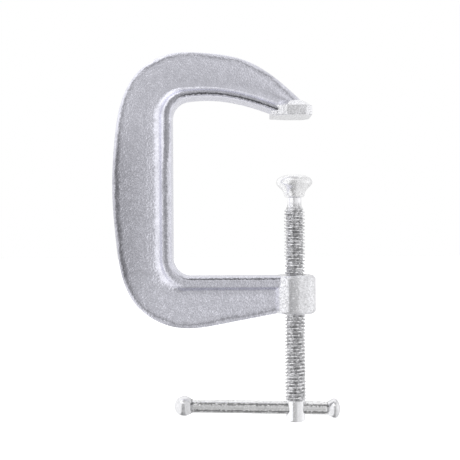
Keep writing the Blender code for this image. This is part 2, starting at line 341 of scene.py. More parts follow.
# The stops of each ramp: how far along, and how bright the walls or how dark the gap is there.
WALLS = ((0.0, 1.12), (0.6, 1.12), (0.7, 0.8), (0.92, 0.92), (1.0, 1.1))
GAP_ACROSS = ((0.25, 0.0), (0.31, 1.0), (0.38, 0.98), (0.45, 0.86), (0.56, 0.84), (0.65, 0.0))
GAP_WAY = (0.0, -0.77, -0.64)
GAP_AHEAD = ((0.1, 0.0), (0.3, 0.84), (0.6, 0.77), (0.83, 0.78), (0.93, 0.68), (1.0, 0.62))
HAZE_UP = ((0.45, 1.0), (0.53, 0.8), (0.6, 0.72), (0.72, 0.85), (0.8, 1.0))
BEHIND = ((0.8, 0.0), (0.95, 0.38))
SEAM_WAY = (0.0, -0.34, 0.94)
SEAM = ((0.93, 0.0), (0.965, 0.95), (1.0, 0.95))


def tent_light(tree):
    """The tent's brightness in each direction: the walls, less the gap, the back and the seam."""
    way = put(tree, "ShaderNodeTexCoord").outputs["Generated"]
    parts = put(tree, "ShaderNodeSeparateXYZ", Vector=way)
    sideways = calculate(tree, "MULTIPLY_ADD", parts.outputs["X"], 0.5, 0.5)
    height = calculate(tree, "MULTIPLY_ADD", parts.outputs["Z"], 0.5, 0.5)
    gap = ramp(tree, along(tree, parts, *GAP_WAY), *GAP_AHEAD)
    gap = calculate(tree, "MULTIPLY", gap, ramp(tree, height, *HAZE_UP))
    behind = ramp(tree, parts.outputs["Y"], *BEHIND)
    seam = ramp(tree, along(tree, parts, *SEAM_WAY), *SEAM)
    dark = calculate(tree, "MAXIMUM", gap, calculate(tree, "MAXIMUM", behind, seam))
    shade = calculate(tree, "MULTIPLY", ramp(tree, sideways, *GAP_ACROSS), dark)
    return calculate(tree, "SUBTRACT", ramp(tree, sideways, *WALLS), shade)


def make_world():
    """The tent for everything that reflects, and plain white for the camera itself."""
    world = bpy.data.worlds.new("tent")
    world.use_nodes = True
    tree = world.node_tree
    tree.nodes.clear()
    seen = put(tree, "ShaderNodeLightPath").outputs["Is Camera Ray"]
    lit = put(tree, "ShaderNodeBackground", Color=tent_light(tree), Strength=1.0)
    white = put(tree, "ShaderNodeBackground", Color=(1.0, 1.0, 1.0, 1.0), Strength=1.0)
    mixed = put(tree, "ShaderNodeMixShader", _0=seen, _1=lit.outputs[0], _2=white.outputs[0])
    put(tree, "ShaderNodeOutputWorld", Surface=mixed.outputs[0])
    bpy.context.scene.world = world

# %% [markdown]
# ## The floor and the soft light
# The floor is far enough down for the screw to be wound right out. It glows a little, so that it
# stays as white as the background, and it is left out of reflections, where the tent already
# stands for it. One large soft light from the upper left gives the tops of the pieces some life.

# %% Floor and light
def softbox(name, at, aim, size, power):
    """A square area light that the camera doesn't see: places and size in mm, power in watts."""
    data = bpy.data.lights.new(name, "AREA")
    data.size = size * MM
    data.energy = power
    light = bpy.data.objects.new(name, data)
    place, target = np.array(at) * MM, np.array(aim) * MM
    light.location = place
    light.rotation_euler = Vector(target - place).to_track_quat("-Z", "Y").to_euler()
    light.visible_camera = False
    bpy.context.scene.collection.objects.link(light)


FLOOR_HALF = 6000.0
FLOOR_LEVEL = -330.0
FLOOR_GLOW = 0.6


def make_floor():
    """A pale floor, low enough for the screw to be wound right down."""
    corners = FLOOR_HALF * np.array([(-1, -1), (1, -1), (1, 1), (-1, 1)])
    points = np.column_stack([corners, np.full(4, FLOOR_LEVEL)])
    mesh = bpy.data.meshes.new("floor")
    mesh.from_pydata((points * MM).tolist(), [], [(0, 1, 2, 3)])
    floor = bpy.data.objects.new("floor", mesh)
    bpy.context.scene.collection.objects.link(floor)
    material, _, shader = new_tree("pale_floor")
    looks = {
        "Base Color": (0.93, 0.93, 0.94, 1.0), "Roughness": 0.9, "Specular IOR Level": 0.1,
        "Emission Color": (1.0, 1.0, 1.0, 1.0), "Emission Strength": FLOOR_GLOW,
    }
    for socket, value in looks.items():
        shader.inputs[socket].default_value = value
    floor.visible_glossy = False
    mesh.materials.append(material)


bpy.context.scene.view_settings.view_transform = "Standard"
make_world()
make_floor()
softbox("top_box", at=(-300, -300, 700), aim=(-40, 0, -60), size=700, power=0.6)

# %% [markdown]
# ## The forging
# A drop forging is squeezed between two dies. Its C has a web 8 mm thick, and along the inner
# edge a bead 18 mm deep, which makes a T section that resists the screw's push. It could be cut
# from a plate with a bead added by Booleans, but then every fillet would have to be bevelled.
# Carrying one cross-section along a path is closer to how the die is cut: two smooth curves, the
# inner and the outer edge, each get the same number of points, and the section is hung between
# them. Points of the bead keep their distance from the inner edge and points of the rim keep
# theirs from the outer edge, so only the web stretches where the C grows wider.

# %% Two edges of the C
HALF_TURN = CORNER * (1 - math.cos(math.pi / 4))

# x, z and heading of the inner edge, then of the outer edge, from the anvil round to the boss.
SECTIONS = (
    (-7.0, 0.7, 158, 4.2, 9.3, 136),
    (-31.5, 8.9, 167, -25.0, 31.6, 155),
    (-50.0, 11.3, 180, -50.0, 37.2, 175),
    (INNER + 9.6, 10.6, 187, -64.0, frame_high[2], 181),
    (INNER + 2.9, 7.4, 228, -89.6, 27.0, 225),
    (INNER, 0.0, 270, OUTER + 2.1, -7.0, 263),
    (INNER, -40.0, 270, OUTER, -40.0, 270),
    (INNER, SILL + CORNER, 270, OUTER + 2.1, -72.0, 276),
    (INNER + HALF_TURN, SILL + HALF_TURN, 315, -90.0, -110.2, 315),
    (INNER + CORNER, SILL, 360, -61.0, frame_low[2], 361),
    (-32.0, SILL, 360, -33.0, -117.6, 370),
    (-7.6, SILL, 360, -7.6, -112.9, 370),
)


STRAIGHT = 1e-3


def curve_through(knots, per_span):
    """Points and outward normals of a smooth curve through knots of (x, z, heading).

    Each span is a cubic (1-t)^3 a + 3t(1-t)^2 b + 3t^2(1-t) c + t^3 d. Its handles b and c lie
    along the headings, at the distance that draws a circular arc for the angle turned.
    """
    knots = np.array(knots, float)
    heading = np.radians(knots[:, 2])
    way = np.stack([np.cos(heading), np.sin(heading)], axis=1)
    start, end = knots[:-1, :2], knots[1:, :2]
    turn = np.maximum(np.abs(np.diff(heading)), STRAIGHT)
    share = 2 / 3 * np.tan(turn / 4) / np.sin(turn / 2)
    reach = (share * np.linalg.norm(end - start, axis=1))[:, None]
    handle_1, handle_2 = start + reach * way[:-1], end - reach * way[1:]
    t = (np.arange(per_span) / per_span)[None, :, None]
    a, b, c, d = (corner[:, None] for corner in (start, handle_1, handle_2, end))
    points = (1 - t) ** 3 * a + 3 * t * (1 - t) ** 2 * b + 3 * t**2 * (1 - t) * c + t**3 * d
    speed = (1 - t) ** 2 * (b - a) + 2 * t * (1 - t) * (c - b) + t**2 * (d - c)
    points = np.concatenate([points.reshape(-1, 2), knots[-1:, :2]])
    speed = np.concatenate([speed.reshape(-1, 2), way[-1:]])
    speed = speed / np.linalg.norm(speed, axis=1, keepdims=True)
    return points, np.stack([speed[:, 1], -speed[:, 0]], axis=1)


PER_SPAN = 24
inner, inner_out = curve_through([row[:3] for row in SECTIONS], PER_SPAN)
outer, outer_out = curve_through([row[3:] for row in SECTIONS], PER_SPAN)
print("stations along the C:", len(inner))

# %% [markdown]
# ## The cross-section
# Half of the section is enough, because the clamp is the same in front and behind. From the
# inner edge it goes up the bead's side, over a rounding to the flat crest, down the wall and
# through a fillet to the web, and ends with the narrow rim. The bead isn't the same all round:
# on the arms its wall is steep, and on the spine it has a wide soft fillet. Five rows of sizes,
# blended by how far the edge has turned, say so.

# %% The cross-section and the loft
WEB_HALF = 4.0
BEAD_HALF = 9.0

# How far the inner edge has turned since the anvil, in degrees, then what bead_profile takes.
BEADS = (
    (20.0, 1.4, 3.3, 4.1, 8.4, 3.2, 0.1),
    (70.0, 2.0, 4.4, 6.4, 12.0, 3.4, 0.5),
    (112.0, 2.4, 5.0, 7.8, 15.5, 3.4, 0.7),
    (157.0, 2.2, 5.4, 8.8, 16.0, 4.0, 1.0),
    (200.0, 1.4, 6.0, 7.8, 10.6, 2.2, 0.1),
)
RIM = ((4.0, WEB_HALF), (1.6, 3.9), (0.0, 2.9), (0.0, 0.0))
RIM_RADII = (1.0, 1.0)
CROWN = 0.3
LEAST_WEB = 1.0
BEAD_POINTS, WEB_POINTS, RIM_POINTS = 32, 18, 14


def bead_profile(rounding, crest_end, wall_foot, web_edge, fillet, lift):
    """Half of the bead: its inner face, the rounding, the crest, the wall and the fillet."""
    corners = (
        (0.0, 0.0), (0.0, BEAD_HALF), (crest_end, BEAD_HALF), (wall_foot, WEB_HALF + lift),
        (web_edge, WEB_HALF),
    )
    return resampled(rounded(corners, (rounding, 0.8, fillet), 9), BEAD_POINTS)


def beads_along():
    """The bead at each station, blended between the rows of BEADS."""
    shapes = np.array([bead_profile(*row[1:]) for row in BEADS])
    facing = np.degrees(np.unwrap(np.arctan2(inner_out[:, 1], inner_out[:, 0])))
    turned_by = np.abs(facing - facing[0])
    place = np.interp(turned_by, [row[0] for row in BEADS], np.arange(len(BEADS)))
    below = np.minimum(place.astype(int), len(BEADS) - 2)
    share = (place - below)[:, None, None]
    return shapes[below] * (1 - share) + shapes[below + 1] * share


def forging_rings():
    """Rings of the loft: for each station, the half section and its mirror image."""
    stations = len(inner)
    bead = beads_along()
    rim = resampled(rounded(RIM, RIM_RADII, 7), RIM_POINTS)
    blend = np.linspace(0, 1, WEB_POINTS + 2)[1:-1]

    def every_station(row):
        return np.broadcast_to(row, (stations, len(row)))

    bead_edge = np.repeat(bead[:, -1:, 0], WEB_POINTS, axis=1)
    crown = every_station(WEB_HALF + CROWN * np.sin(np.pi * blend))
    from_inner = np.hstack([bead[..., 0], bead_edge, every_station(0 * rim[:, 0])])
    from_outer = np.concatenate([np.zeros(BEAD_POINTS), np.full(WEB_POINTS, RIM[0][0]), rim[:, 0]])
    weight = np.concatenate([np.zeros(BEAD_POINTS), blend, np.ones(RIM_POINTS)])
    depth = np.hstack([bead[..., 1], crown, every_station(rim[:, 1])])
    room = np.linalg.norm(outer - inner, axis=1)
    fit = np.minimum(1.0, room / (bead[:, -1, 0] + RIM[0][0] + LEAST_WEB))[:, None]
    near = inner[:, None] + (fit * from_inner)[..., None] * inner_out[:, None]
    far = outer[:, None] - (fit * from_outer)[..., None] * outer_out[:, None]
    flat = near + weight[:, None] * (far - near)
    front = np.stack([flat[..., 0], -depth, flat[..., 1]], axis=-1)
    back = front[:, -2:0:-1] * (1, -1, 1)
    return np.concatenate([front, back], axis=1)

# %% [markdown]
# ## Melting the loft into a forging
# A lofted skin has long thin quads. A voxel remesh turns them into even ones, and a light
# smoothing takes the last hard edges off, like the tumbling that follows forging.

# %% The forging
VOXEL = 0.6


def make_forging():
    """The loft, remeshed into even quads and lightly smoothed."""
    forging = closed_skin("frame_forging", forging_rings())
    melt = forging.modifiers.new("melt_together", "REMESH")
    melt.mode = "VOXEL"
    melt.voxel_size = VOXEL * MM
    melt.use_smooth_shade = True
    soften = forging.modifiers.new("soften", "SMOOTH")
    soften.factor = 0.5
    soften.iterations = 4
    return finished_copy(forging)


forging = make_forging()
print("forging faces:", len(forging.data.polygons))

# %% [markdown]
# ## Distances that the finish can follow
# The painted reflections on the crest and the rim, and the smoother fillet, follow shape: each
# keeps a fixed distance from one edge of the C. So each point stores how far it is from the inner
# edge and from the outer edge, and the material reads the two numbers as attributes.

# %% Distances
POINTS_AT_ONCE = 5000


def distance_from(points, curve, outward):
    """How far each point lies outward of a curve, measured in the plane of the C.

    Every gap from point to curve is worked out, so the points are taken in blocks.
    """
    found = []
    for block in np.array_split(points, 1 + len(points) // POINTS_AT_ONCE):
        gap = block[:, None] - curve[None]
        nearest = (gap**2).sum(axis=2).argmin(axis=1)
        found.append((gap[np.arange(len(block)), nearest] * outward[nearest]).sum(axis=1))
    return np.concatenate(found)


def store_distances(obj):
    """Keeps, at each point, the distance in mm from the inner edge and from the outer edge."""
    flat = get_points(obj)[:, [0, 2]]
    wanted = {
        "from_inner": distance_from(flat, inner, inner_out),
        "from_outer": distance_from(flat, outer, -outer_out),
    }
    for name, values in wanted.items():
        obj.data.attributes.new(name, "FLOAT", "POINT").data.foreach_set("value", values)
        print(name, "mm", values.min().round(1), "to", values.max().round(1))


store_distances(forging)

# %% [markdown]
# ## The anvil
# The end of the upper arm spreads into an eight-sided block whose face the work is pressed
# against. Its facets were trimmed after forging, so they are flat and meet at crisp edges. It is
# a stack of rings too, but shaded flat, with a narrow bevel on every edge to catch the light.

# %% The anvil
# The front half of the outline, and at each height how large the outline is.
ANVIL_FRONT = ((-13.8, -7.6), (-4.6, -10.5), (6.3, -10.5), (9.9, -7.0))
ANVIL_LEVELS = ((0.0, 0.96), (0.5, 1.0), (5.6, 1.0), (9.4, 0.5))
ANVIL_BEVEL = 0.35


def anvil_rings():
    """The anvil: an eight-sided outline drawn in level by level, from its face up to the arm."""
    front = np.array(ANVIL_FRONT)
    outline = np.concatenate([front, front[::-1] * (1, -1)])
    middle = outline.mean(axis=0) * (1, 0)
    levels = np.array(ANVIL_LEVELS)
    plan = middle + levels[:, 1][:, None, None] * (outline - middle)[None]
    height = np.broadcast_to(levels[:, 0][:, None], plan.shape[:2])
    return np.concatenate([plan, height[..., None]], axis=-1)


def make_anvil():
    """The anvil as a faceted block with small bevels."""
    anvil = closed_skin("frame_anvil", anvil_rings())
    anvil.data.shade_flat()
    bevel = anvil.modifiers.new("edges", "BEVEL")
    bevel.width = ANVIL_BEVEL * MM
    bevel.segments = 3
    return finished_copy(anvil)


anvil = make_anvil()
print("anvil faces:", len(anvil.data.polygons))

# %% [markdown]
# ## The thread
# A trapezoidal thread is a profile carried along a helix. The grid is laid along the helix too:
# a point's height is pitch * (row / rows per turn + angle / full turn), so one turn on, a row
# meets the row one pitch higher. Crests and roots then follow rows exactly, which a plain
# grid of rings could only do with far more points. The radius depends on the row's place in
# its pitch, and is held down near the ends, where a real thread runs out.

# %% A rod with a helical thread
AROUND = 64
PER_PITCH = 14
FLANK = 0.5 / PITCH


def thread_radius(phase, crest, root):
    """Radius over one pitch, with the crest in its middle.

    It is a trapezoid, as wide as its gap at half its height. Each flank takes FLANK of the pitch
    and follows a smooth step, which rounds the corners.
    """
    from_crest = np.abs(phase - 0.5)
    rise = np.clip((0.25 + FLANK / 2 - from_crest) / FLANK, 0, 1)
    return root + (crest - root) * rise**2 * (3 - 2 * rise)


def threaded(name, low, high, crest, root, limit):
    """A rod threaded between two heights that are whole pitches; limit(z) caps its radius."""
    rows = round((high - low) / PITCH) * PER_PITCH + 1
    row, turn = np.meshgrid(np.arange(rows), np.arange(AROUND) / AROUND, indexing="ij")
    z = low + PITCH * (row / PER_PITCH + turn)
    radius = np.minimum(thread_radius(row / PER_PITCH % 1, crest, root), limit(z))
    angle = 2 * np.pi * turn
    points = np.stack([radius * np.cos(angle), radius * np.sin(angle), z], axis=-1)
    index = np.arange(rows * AROUND).reshape(rows, AROUND)
    body = [index[:-1, :-1], index[:-1, 1:], index[1:, 1:], index[1:, :-1]]
    seam = [
        index[: -PER_PITCH - 1, -1], index[PER_PITCH:-1, 0],
        index[PER_PITCH + 1 :, 0], index[1:-PER_PITCH, -1],
    ]
    quads = np.concatenate([np.stack(body, axis=-1).reshape(-1, 4), np.stack(seam, axis=-1)])
    foot = np.concatenate([index[0], index[PER_PITCH:0:-1, 0]])
    head = np.concatenate([index[-1], index[-2 : -PER_PITCH - 2 : -1, -1]])
    middles = np.array([(0, 0, low + PITCH / 2), (0, 0, high + PITCH / 2)])
    caps = np.concatenate([fan(foot[::-1], rows * AROUND), fan(head, rows * AROUND + 1)])
    return add_mesh(name, np.concatenate([points.reshape(-1, 3), middles]), quads, caps)

# %% [markdown]
# ## The boss
# The lower arm ends in a boss that is the screw's nut. The dies leave it slightly square, so it is
# a turned piece whose sides are fattened a little. The thread is cut right through it with a
# Boolean, using the same threaded rod a quarter of a millimetre larger, as a tap would.

# %% The boss
AXIS_R = 0.01
BOSS_CHAMFER = 1.4
BOSS_SQUARE = 2.4
TAP_ROOM = 0.25
TAP_LOW, TAP_HIGH = -118.0, -88.0


def boss_profile():
    """(radius, height) of the boss: a cylinder with a chamfer at each end.

    Outlines start and end at AXIS_R, a hair off the axis, where closed_skin's fans close them.
    """
    corners = (
        (AXIS_R, BOSS_TOP),
        (BOSS_R - BOSS_CHAMFER, BOSS_TOP),
        (BOSS_R, BOSS_TOP - BOSS_CHAMFER),
        (BOSS_R, BOSS_BOTTOM + BOSS_CHAMFER),
        (BOSS_R - BOSS_CHAMFER, BOSS_BOTTOM),
        (AXIS_R, BOSS_BOTTOM),
    )
    return spaced(rounded(corners, 0.3, 4), 2.0)


def no_limit(z):
    """For a thread that doesn't run out."""
    return np.full(z.shape, np.inf)


def make_boss():
    """The boss, with the thread cut right through it."""
    boss = squared(turned("frame_boss", boss_profile()), BOSS_SQUARE)
    tap = threaded("tap", TAP_LOW, TAP_HIGH, THREAD_R + TAP_ROOM, ROOT_R + TAP_ROOM, no_limit)
    return combine(boss, tap, "DIFFERENCE")


boss = make_boss()
print("tapped boss faces:", len(boss.data.polygons))

# %% [markdown]
# ## The screw
# The screw is one piece of steel: a ball that carries the pad, a plain neck, the rolled thread
# and a head. The head is upset, which leaves it a little square, and is drilled across for the
# tommy bar. Each part is a turned profile, and Booleans join them and drill the hole.

# %% The screw
NECK_R = 4.05
THREAD_TOP = -52.0
HEAD_TOP = -163.0
HEAD_R = 5.6
HEAD_SQUARE = 2.25
GROOVE_R = 3.2
BALL_R = 4.6
BALL_DEPTH = 6.9
BALL_Z = pad_high[2] - BALL_DEPTH
NEAR_POLE = np.pi / 2 - 0.02


def screw_limit(z):
    """The blank's radius near the thread's ends: a lead-in at the neck, a run-out at the head."""
    lead_in_slope, run_out_slope = 0.65, 1.6
    start_r = NECK_R + 0.35
    lead_in = start_r + (THREAD_TOP - z) * lead_in_slope
    run_out = start_r + (z - HEAD_TOP + 0.8) * run_out_slope
    return np.maximum(NECK_R - 0.4, np.minimum(lead_in, run_out))


def neck_profile():
    """The ball, the groove that the pad closes into, and the neck, from the top down."""
    angle = np.linspace(NEAR_POLE, -math.acos(GROOVE_R / BALL_R), 24)
    ball = np.stack([BALL_R * np.cos(angle), BALL_Z + BALL_R * np.sin(angle)], axis=1)
    top = pad_high[2]
    inside = THREAD_TOP - 4.0
    stem = (
        (GROOVE_R, top - 10.2), (GROOVE_R, top - 11.5), (NECK_R - 0.4, top - 12.2),
        (NECK_R - 0.2, top - 12.9), (NECK_R, top - 13.4), (NECK_R, inside), (AXIS_R, inside),
    )
    return np.concatenate([ball, rounded(stem, 0.5, 5)])


def head_profile():
    """The head: upset from the bar, with a softened lower edge."""
    low, core_r = screw_low[2], ROOT_R - 0.5
    corners = (
        (AXIS_R, HEAD_TOP + 2.0), (core_r, HEAD_TOP + 2.0), (core_r, HEAD_TOP + 0.6),
        (HEAD_R, HEAD_TOP - 0.5), (HEAD_R, low + 0.9), (HEAD_R - 0.9, low), (AXIS_R, low),
    )
    return spaced(rounded(corners, 0.35, 5), 1.0)


BAR_Z = -168.3
HOLE_Z = BAR_Z + 0.1
HOLE_R = 4.2


def cross_hole_profile():
    """A drill with a flare at each end, which countersinks the hole's two mouths."""
    mouth, end = 5.2, 9.0
    flare = HOLE_R + end - mouth
    corners = (
        (AXIS_R, end), (flare, end), (HOLE_R, mouth),
        (HOLE_R, -mouth), (flare, -end), (AXIS_R, -end),
    )
    return spaced(rounded(corners, 0.3, 4), 1.5)


def make_screw():
    """The threaded rod with its neck and ball, its head, and the hole through the head."""
    low = math.floor(HEAD_TOP / PITCH) * PITCH - PITCH
    high = math.ceil(THREAD_TOP / PITCH) * PITCH
    screw = threaded("screw_rolled", low, high, THREAD_R, ROOT_R, screw_limit)
    combine(screw, turned("neck", neck_profile()), "UNION")
    combine(screw, squared(turned("head", head_profile()), HEAD_SQUARE), "UNION")
    hole = turned("cross_hole", cross_hole_profile(), 64, "X")
    hole.location.z = HOLE_Z * MM
    combine(screw, hole, "DIFFERENCE")
    return screw


screw = make_screw()
print("screw faces:", len(screw.data.polygons))

# %% [markdown]
# ## The pad
# The pad is turned like a mushroom, slipped over the screw's ball and closed in under it. Four
# punch marks hold it there. The socket inside is a little larger than the ball, so it swivels.

# %% The pad
LIP_R = 3.9
SOCKET_R = BALL_R + 0.3


def pad_profile():
    """The pad from the middle of its face, round the rim and skirt, and back up the socket."""
    top, low = pad_high[2], pad_low[2]
    rim_r = pad_high[0]
    corners = (
        (AXIS_R, top), (5.8, top), (9.6, top - 1.7), (rim_r, top - 3.9), (rim_r - 0.3, top - 5.4),
        (7.4, top - 8.2), (6.0, top - 10.2), (6.0, low + 1.0), (5.2, low), (LIP_R + 0.4, low),
        (LIP_R, low + 0.8), (LIP_R, low + 3.0),
    )
    outside = rounded(corners, 1.4, 7)
    angle = np.linspace(-math.acos(LIP_R / SOCKET_R), NEAR_POLE, 24)
    socket = np.stack([SOCKET_R * np.cos(angle), BALL_Z + SOCKET_R * np.sin(angle)], axis=1)
    return np.concatenate([spaced(outside[:-1], 1.0), socket])


def punched(obj, count, height, depth, size):
    """Presses dents into a turned piece, evenly spaced round it, the first half a step from X.

    A dent takes depth * e^(-d^2 / size^2) off the radius, where d is the distance from its middle.
    """
    points = get_points(obj)
    radius = np.hypot(points[:, 0], points[:, 1])
    step = 2 * np.pi / count
    around = (np.arctan2(points[:, 1], points[:, 0]) % step - step / 2) * radius
    away = around**2 + (points[:, 2] - height) ** 2
    outside = radius > BALL_R + 0.6
    shrink = 1 - outside * depth * np.exp(-away / size**2) / np.maximum(radius, 1.0)
    points[:, :2] *= shrink[:, None]
    return set_points(obj, points)


pad = turned("swivel_pad_turned", pad_profile(), 128)
punched(pad, count=4, height=pad_high[2] - 11.2, depth=0.8, size=0.8)
print("pad faces:", len(pad.data.polygons))

# %% [markdown]
# ## The tommy bar
# The bar is a plain drawn rod with a thinner spigot at each end. It slides in the head's hole and
# hangs a little out of level, because the hole is larger than the bar. It is turned about the X
# axis and then tilted into its place.

# %% The tommy bar
BAR_TILT = math.radians(1.2)
BAR_R = 3.8
BAR_LEFT = -60.4
BAR_RIGHT = 18.1
SPIGOT_R = 2.2
SPIGOT_LENGTH = 4.0


def on_bar(obj):
    """Moves a piece from the X axis to the bar's place, tilted about the head's middle."""
    cosine, sine = math.cos(BAR_TILT), math.sin(BAR_TILT)
    turn = np.array([(cosine, 0, sine), (0, 1, 0), (-sine, 0, cosine)])
    return set_points(obj, get_points(obj) @ turn.T + (0, 0, BAR_Z))


def make_bar():
    """The rod, with a spigot at each end for a knob."""
    left_end, right_end = BAR_LEFT - SPIGOT_LENGTH, BAR_RIGHT + SPIGOT_LENGTH
    corners = (
        (AXIS_R, left_end), (SPIGOT_R, left_end), (SPIGOT_R, BAR_LEFT), (BAR_R, BAR_LEFT),
        (BAR_R, BAR_RIGHT), (SPIGOT_R, BAR_RIGHT), (SPIGOT_R, right_end), (AXIS_R, right_end),
    )
    profile = spaced(rounded(corners, 0.35, 5), 1.0)
    return on_bar(turned("tommy_bar_rod", profile, axis="X"))


bar = make_bar()
print("bar from", BAR_LEFT, "to", BAR_RIGHT, "mm, faces:", len(bar.data.polygons))

# %% [markdown]
# ## The knobs
# The knobs keep the bar from sliding out. One is a ball. The other is a cone that ends in a short
# band and a low dome. Both are bored and pressed over the bar's spigots.

# %% The knobs
KNOB_R = 5.8
KNOB_GAP = 0.3
BORE_R = SPIGOT_R + 0.3
BORE_DEPTH = SPIGOT_LENGTH + 0.1


def make_left_knob():
    """A ball that narrows to the bar in a short cone, bored over the bar's spigot."""
    shoulder, centre = BAR_LEFT - KNOB_GAP, -64.5
    angle = np.linspace(np.pi / 3, np.pi / 2 + NEAR_POLE, 40)
    ball = np.stack([KNOB_R * np.sin(angle), centre + KNOB_R * np.cos(angle)], axis=1)
    collar = BAR_R + 0.05
    bore = np.array([
        (AXIS_R, shoulder - BORE_DEPTH), (BORE_R, shoulder - BORE_DEPTH), (BORE_R, shoulder),
        (collar, shoulder), (collar, centre + 4.9),
    ])
    return on_bar(turned("knob_ball", np.concatenate([bore, ball]), axis="X"))


def make_right_knob():
    """A cone, a short band and a dome, bored over the bar's spigot."""
    shoulder, cap_r = BAR_RIGHT + KNOB_GAP, KNOB_R - 0.1
    cone_length, band_width, dome_height = 3.2, 1.0, 3.2
    cone_end = shoulder + cone_length
    dome_start = cone_end + band_width
    angle = np.linspace(0, NEAR_POLE, 20)
    dome = np.stack([cap_r * np.cos(angle), dome_start + dome_height * np.sin(angle)], axis=1)
    sides = ((BAR_R, shoulder), (cap_r - 0.1, cone_end), (cap_r, dome_start))
    cone = rounded(sides, 0.6, 6)[:-1]
    floor = shoulder + BORE_DEPTH
    bore = np.array([(AXIS_R, floor), (BORE_R, floor), (BORE_R, shoulder)])
    return on_bar(turned("knob_cap", np.concatenate([bore, cone, dome]), axis="X"))


left_knob, right_knob = make_left_knob(), make_right_knob()
print("knob faces:", len(left_knob.data.polygons), len(right_knob.data.polygons))

# %% [markdown]
# ## Zinc plating as one recipe
# Every piece is zinc-plated steel, so one function makes all the finishes. Zinc is a metal, so
# it has no colour of its own apart from the tint of its reflections. What differs is the ground
# under it: shot-blasted scale on the forging, rolled flanks on the screw, drawn streaks on the
# bar. That is a grain size and a bump depth. A second, broader noise makes the tone uneven, as
# plating from a barrel is, and the same noise makes the dull places rougher.

# %% The plating
DULL_ROUGHER = 0.16
PIT_SIZE = 0.7
PIT_LEVELS = (0.54, 0.6, 1.0, 1.1)


def noise(tree, place, size, detail=4.0):
    """Noise whose spots are about `size` mm across, from 0 to 1."""
    made = put(tree, "ShaderNodeTexNoise", Vector=place, Scale=1 / (size * MM), Detail=detail)
    return made.outputs["Fac"]


def band(tree, value, low, start, end, high):
    """1 between start and end, falling to 0 at low and at high."""
    rise = put(tree, "ShaderNodeMapRange", Value=value, From_Min=low, From_Max=start)
    fall = put(tree, "ShaderNodeMapRange", Value=value, From_Min=high, From_Max=end)
    return calculate(tree, "MULTIPLY", rise.outputs["Result"], fall.outputs["Result"])


def darker(tree, mask, amount):
    """A factor that is 1 where the mask is 0, and 1 - amount where it is 1."""
    return calculate(tree, "MULTIPLY_ADD", mask, -amount, 1.0)


def plated(name, tint, contrast, roughness, grain, depth, stretch=(1, 1, 1), pits=0.0, shade_and_marks=None):
    """Zinc-plated steel.

    `tint` is the colour of its brightest spots and `contrast` how much darker the dullest are.
    The grain and its depth are in mm. A number under 1 in `stretch` draws it out along that axis.
    `pits` adds sparse steep-sided pits, so many times as deep as the grain.
    The last argument gives two factors, for the colour and for the height of the bumps. The colour
    factor carries painted shade and painted reflections, and the screw's blotches.
    """
    material, tree, shader = new_tree(name)
    place = put(tree, "ShaderNodeTexCoord").outputs["Object"]
    scaled = put(tree, "ShaderNodeVectorMath", {"operation": "MULTIPLY"}, _0=place, _1=stretch)
    fine = noise(tree, scaled.outputs[0], grain, 2.0)
    broad = noise(tree, scaled.outputs[0], 4 * grain, 4.0)
    mottle = calculate(tree, "MULTIPLY_ADD", fine, 0.5, calculate(tree, "MULTIPLY", broad, 0.5))
    spots = put(tree, "ShaderNodeMapRange", Value=mottle, From_Min=0.35, From_Max=0.65)
    dull = calculate(tree, "SUBTRACT", 1.0, spots.outputs["Result"])
    tone = darker(tree, dull, contrast)
    height = 1.0
    # Painted shade and painted reflections enter through the colour factor here.
    if shade_and_marks:
        colour_shade_and_marks, height = shade_and_marks(tree, place)
        tone = calculate(tree, "MULTIPLY", tone, colour_shade_and_marks)
    colour = put(tree, "ShaderNodeVectorMath", {"operation": "SCALE"}, _0=tint, Scale=tone)
    rough = calculate(tree, "MULTIPLY_ADD", dull, DULL_ROUGHER, roughness)
    relief = calculate(tree, "ADD", broad, fine)
    hollows = band(tree, noise(tree, scaled.outputs[0], PIT_SIZE * grain, 1.0), *PIT_LEVELS)
    relief = calculate(tree, "MULTIPLY_ADD", hollows, -pits, relief)
    bump = put(tree, "ShaderNodeBump", Height=relief, Strength=height, Distance=depth * MM)
    shader.inputs["Metallic"].default_value = 1.0
    tree.links.new(colour.outputs[0], shader.inputs["Base Color"])
    tree.links.new(rough, shader.inputs["Roughness"])
    tree.links.new(bump.outputs["Normal"], shader.inputs["Normal"])
    return material

# %% [markdown]
# ## The forging's finish
# The dies leave a scale that shot-blasting turns into a coarse, glittering grain. The fillet
# beside the bead is where the steel flowed hardest against the die, so it is smoother. The crest
# of the bead, the rounding at its inner edge and the rim face the dark gap in the tent, so their
# dark reflections are painted on as darker, blotchy bands. The lower spine is painted darker as
# shade. The distances stored above say where each of these is.

# %% Painted reflections and shade on the forging
# Where each painted reflection and the painted shade on the spine lie, in mm. It comes in over
# the first two numbers and goes out over the last two. The places are coordinates, and the strips
# are distances from an edge of the C.
SPINE_X, SPINE_SHADE_Z = (-200, -98, -98, -76), (-120, -90, -30, 0)
ARMS_X, BEAD_FACE_Y = (-70, -60, 20, 30), (7.8, 8.5, 20, 30)
UPPER_Z, ABOVE_SILL_Z = (-30, -15, 100, 200), (-100, -80, 100, 200)
CREST_STRIP, LINE_STRIP = (2.0, 2.8, 4.8, 5.6), (0.8, 1.1, 1.6, 1.9)
FILLET_STRIP = (4.8, 6.0, 9.0, 12.0)
RIM_STRIP, PAINTED_OUTER_LINE_STRIP = (1.0, 1.8, 3.6, 4.8), (1.8, 2.2, 2.8, 3.2)


def attribute(tree, name):
    """A number stored at each point of the mesh."""
    return put(tree, "ShaderNodeAttribute", {"attribute_name": name}).outputs["Fac"]


def between(tree, coordinate, limits):
    """A band between four places in mm along a coordinate, which the nodes give in metres."""
    return band(tree, coordinate, *(limit * MM for limit in limits))


def centred(tree, value, spread):
    """Noise moved to swing about 0, from -spread / 2 to spread / 2."""
    return calculate(tree, "MULTIPLY_ADD", value, spread, -spread / 2)


def product(tree, *masks):
    """All the masks multiplied together."""
    result = masks[0]
    for mask in masks[1:]:
        result = calculate(tree, "MULTIPLY", result, mask)
    return result


